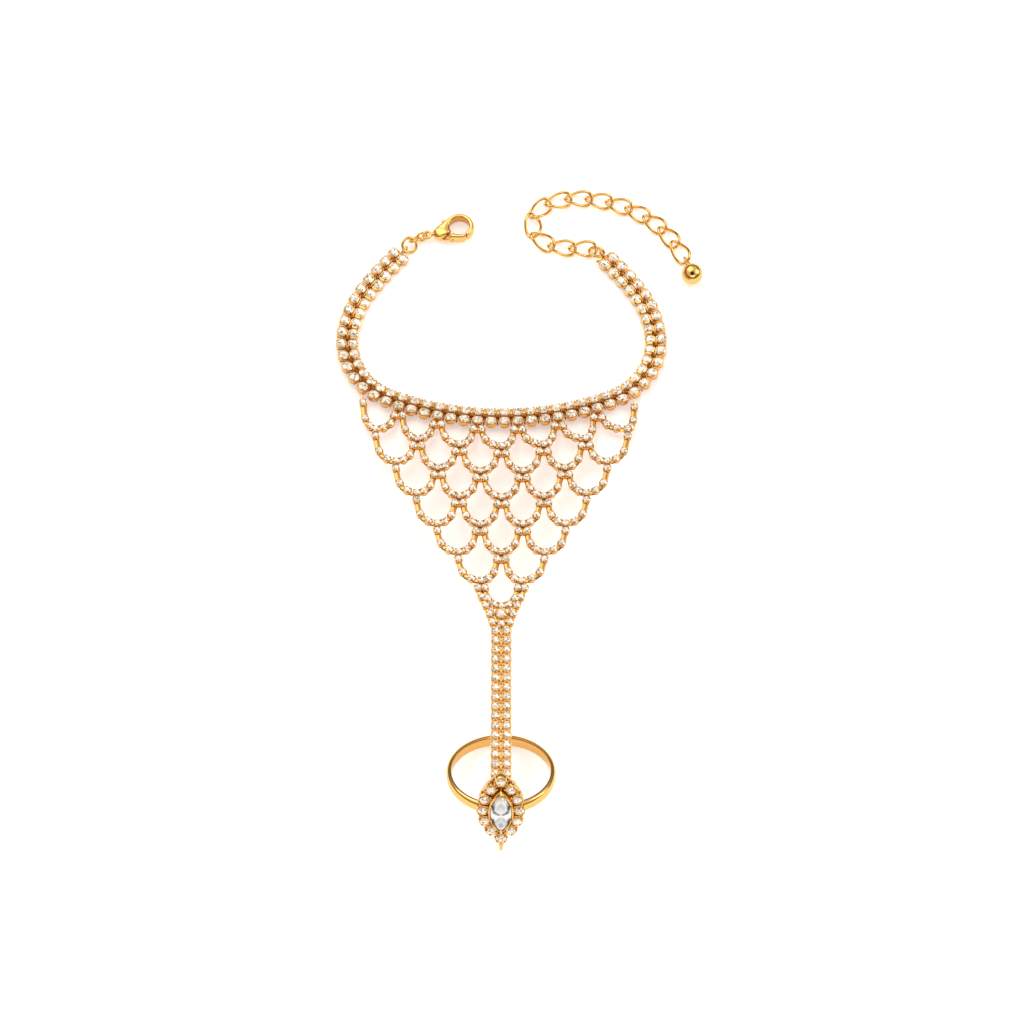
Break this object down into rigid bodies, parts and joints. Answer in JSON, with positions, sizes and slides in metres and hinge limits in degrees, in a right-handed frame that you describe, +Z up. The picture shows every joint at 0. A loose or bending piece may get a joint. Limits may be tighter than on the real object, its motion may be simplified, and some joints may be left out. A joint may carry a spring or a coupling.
{
  "type": "hand chain bracelet",
  "caption": "Hand chain: a two-row wrist band, a V-shaped net over the back of the hand and a stem to a finger ring with a marquise head, with clasp and extender chain.",
  "frame": {"origin": "centre of the bounding box at the level of the surface it lies on", "axes": "+Z up from the surface, +Y from the ring to the wrist band along the object's length, +X across it"},
  "size_m": [0.0716, 0.1422, 0.0184],
  "materials": {
    "gold": "polished yellow gold plating",
    "stone": "clear foil-backed cut stones"
  },
  "bodies": {
    "chain": {"band_settings_left": "gold", "band_settings_right": "gold", "band_stones_left": "stone", "band_stones_right": "stone", "hand_mesh": "gold", "yoke_stone": "stone", "stem_settings": "gold", "stem_stones": "stone", "finger_ring": "gold", "marquise_stone": "stone", "halo_stone_1": "stone", "halo_stone_2": "stone", "halo_stone_3": "stone", "halo_stone_4": "stone", "halo_stone_5": "stone", "halo_stone_6": "stone", "halo_stone_7": "stone", "halo_stone_8": "stone", "halo_stone_9": "stone", "halo_stone_10": "stone", "halo_stone_11": "stone", "halo_stone_12": "stone", "left_jump_ring": "gold", "small_ring_1": "gold", "small_ring_2": "gold", "clasp_body": "gold", "right_jump_ring": "gold", "link_1": "gold", "link_2": "gold", "link_3": "gold", "link_4": "gold", "link_5": "gold", "link_6": "gold", "link_7": "gold", "link_8": "gold", "link_9": "gold", "link_10": "gold", "link_11": "gold", "link_12": "gold", "link_13": "gold", "end_ball": "gold"},
    "lever": {"clasp_lever": "gold"}
  },
  "joints": [
    {"name": "lever_hinge", "type": "hinge", "parent": "chain", "child": "lever", "pos_m": [-0.01539, 0.0612, 0.00126], "axis": [0, 0, 1], "range_deg": [0, 20], "stiffness_Nm_per_rad": 0.0005, "springref_deg": -17.19}
  ]
}
